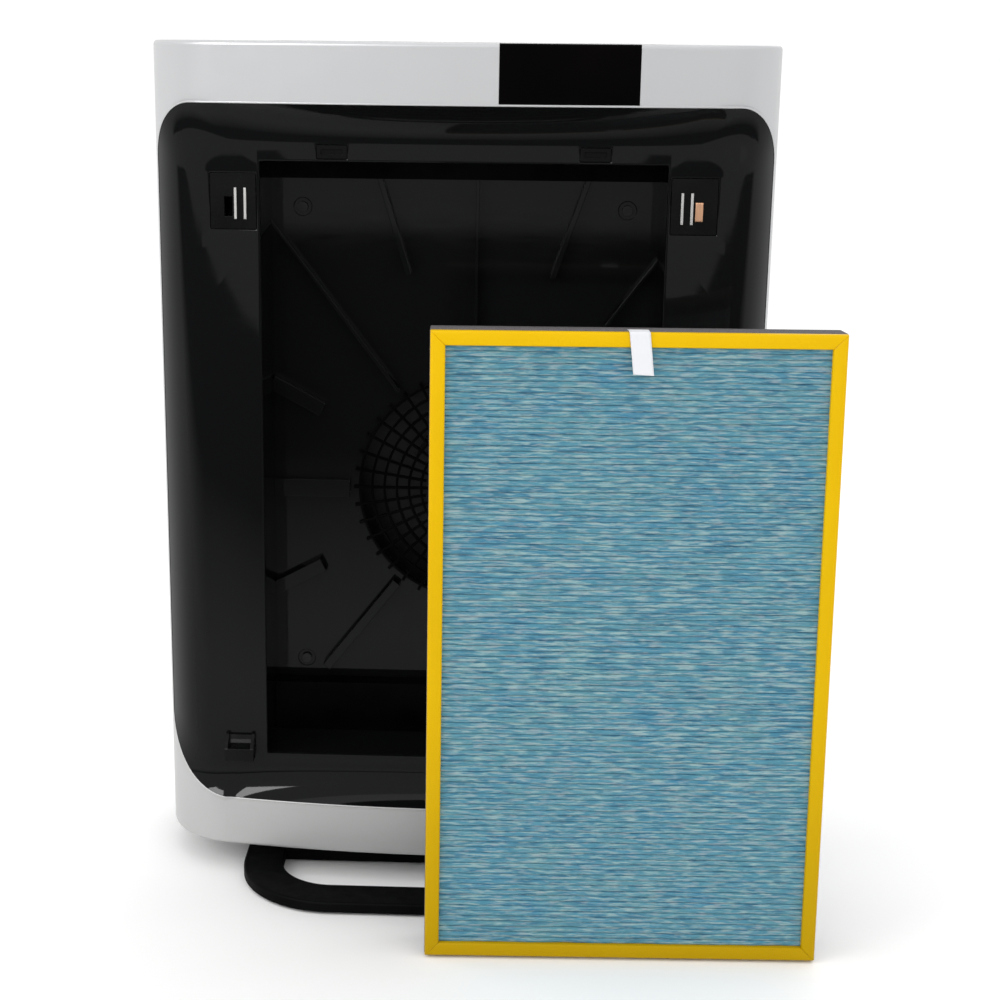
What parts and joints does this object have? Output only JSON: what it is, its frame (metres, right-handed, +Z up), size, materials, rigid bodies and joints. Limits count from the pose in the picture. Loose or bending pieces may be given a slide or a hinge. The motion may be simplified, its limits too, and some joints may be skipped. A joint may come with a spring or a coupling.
{
  "type": "air purifier",
  "caption": "Floor-standing air purifier on a ring stand, front cover off, open black filter chamber, and its pleated filter panel stood on the floor in front of it.",
  "frame": {"origin": "on the floor at the centre of the stand, on the underside of its middle rubber pad", "axes": "+X to the viewer's right, +Y to the back of the purifier, +Z up"},
  "size_m": [0.492, 0.2979, 0.64],
  "materials": {
    "shell_silver": "satin silver paint on moulded plastic",
    "control_glass": "polished black",
    "circuit_board": "green solder mask",
    "gloss_black": "high-gloss black",
    "black_plastic": "fine-grained black",
    "grey_plastic": "plain moulded grey",
    "pole_steel": "bright edge",
    "magnet_steel": "nickel-plated magnet",
    "copper_key": "copper-coloured",
    "screw_steel": "zinc-plated",
    "wheel_plastic": "smooth dark grey",
    "shaft_steel": "ground",
    "motor_iron": "laminated",
    "motor_can": "pressed sheet",
    "bush_rubber": "matte",
    "pin_brass": "bright",
    "loom": "sleeved loom",
    "stand_black": "matte black, fine texture",
    "frame_yellow": "bright yellow, rolled edges",
    "media_blue": "mottled blue pleated fibre",
    "mesh_white": "open white scrim",
    "seal_foam": "open-cell foam",
    "tab_fabric": "white woven tape"
  },
  "bodies": {
    "purifier": {"air_sensor": "grey_plastic", "catch_magnets": "magnet_steel", "catch_poles": "pole_steel", "chamber_back": "gloss_black", "chamber_ribs": "gloss_black", "chamber_screws": "screw_steel", "control_board": "circuit_board", "control_bracket": "grey_plastic", "control_window": "control_glass", "cover_catch_left": "black_plastic", "cover_catch_right": "black_plastic", "cover_lug_left": "black_plastic", "cover_lug_right": "black_plastic", "fan_scroll": "black_plastic", "fascia": "gloss_black", "filter_chamber": "gloss_black", "filter_clip_left": "black_plastic", "filter_clip_right": "black_plastic", "filter_seats": "gloss_black", "front_housing": "shell_silver", "handle_cup": "black_plastic", "housing_screws": "screw_steel", "inlet_grille": "black_plastic", "inlet_pins": "pin_brass", "interlock_switch": "grey_plastic", "mains_inlet": "black_plastic", "motor_bearing_front": "shaft_steel", "motor_bearing_rear": "shaft_steel", "motor_bushings": "bush_rubber", "motor_housing": "motor_can", "motor_mount": "motor_can", "motor_screws": "screw_steel", "motor_stator": "motor_iron", "outlet_grille": "black_plastic", "power_board": "circuit_board", "power_tray": "grey_plastic", "rear_housing": "shell_silver", "scroll_cover": "black_plastic", "stand_crossbar": "stand_black", "stand_pads": "bush_rubber", "stand_ring": "stand_black", "stand_risers": "stand_black", "stand_screws": "screw_steel", "wiring_harness": "loom"},
    "fan_wheel": {"impeller": "wheel_plastic", "impeller_nut": "screw_steel", "motor_shaft": "shaft_steel", "motor_rotor": "motor_iron"},
    "interlock_key": {"interlock_plunger": "copper_key"},
    "filter_panel": {"filter_rail_top": "frame_yellow", "filter_rail_bottom": "frame_yellow", "filter_rail_left": "frame_yellow", "filter_rail_right": "frame_yellow", "filter_media": "media_blue", "filter_back_mesh": "mesh_white", "filter_gasket": "seal_foam", "pull_tab": "tab_fabric"}
  },
  "joints": [
    {"name": "fan_spin", "type": "hinge", "parent": "purifier", "child": "fan_wheel", "pos_m": [0.01, 0.06, 0.297], "axis": [0, 1, 0], "continuous": true},
    {"name": "interlock_press", "type": "slide", "parent": "purifier", "child": "interlock_key", "axis": [0, 1, 0], "range_m": [0, 0.002], "stiffness_N_per_m": 300},
    {"name": "filter_slide", "type": "slide", "parent": "purifier", "child": "filter_panel", "axis": [0, -1, 0], "range_m": [0, 0.15]}
  ]
}
